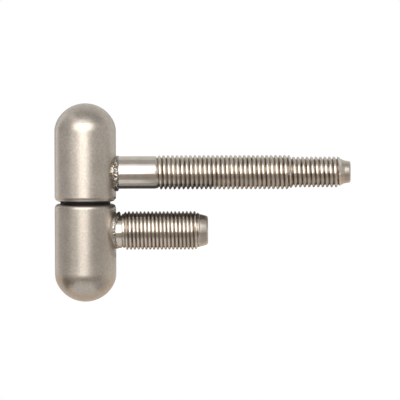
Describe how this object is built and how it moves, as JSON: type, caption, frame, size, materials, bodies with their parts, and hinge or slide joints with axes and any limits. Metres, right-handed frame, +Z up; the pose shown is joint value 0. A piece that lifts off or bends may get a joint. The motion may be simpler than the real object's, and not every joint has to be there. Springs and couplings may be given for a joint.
{
  "type": "lift-off screw-in door hinge",
  "caption": "Lift-off hinge for a steel door frame: domed barrels stacked on a hidden pin, each with a welded threaded stud, a short one for the frame and a long stepped one for the door.",
  "frame": {"origin": "on the frame stud's axis, at its first thread crest", "axes": "+X along the studs towards their tips, +Z up along the hinge pin, -Y is the front"},
  "size_m": [0.0769, 0.016, 0.0516],
  "materials": {
    "barrel_nickel": "satin nickel plate on turned steel",
    "stud_nickel": "bright nickel plate on a rolled thread",
    "weld_flash": "lumpy weld flash, plated over",
    "pin_steel": "ground steel",
    "washer_black": "matt black acetal",
    "bush_plastic": "natural acetal"
  },
  "bodies": {
    "frame_half": {"frame_barrel": "barrel_nickel", "frame_stud": "stud_nickel", "frame_weld": "weld_flash", "hinge_pin": "pin_steel"},
    "washer": {"thrust_washer": "washer_black"},
    "door_half": {"door_barrel": "barrel_nickel", "door_stud": "stud_nickel", "door_weld": "weld_flash", "bearing_bush": "bush_plastic"}
  },
  "joints": [
    {"name": "turn", "type": "hinge", "parent": "frame_half", "child": "washer", "pos_m": [-0.01027, 0, 0.007], "axis": [0, 0, 1], "continuous": true},
    {"name": "lift_off", "type": "slide", "parent": "washer", "child": "door_half", "axis": [0, 0, 1], "range_m": [0, 0.02]}
  ]
}
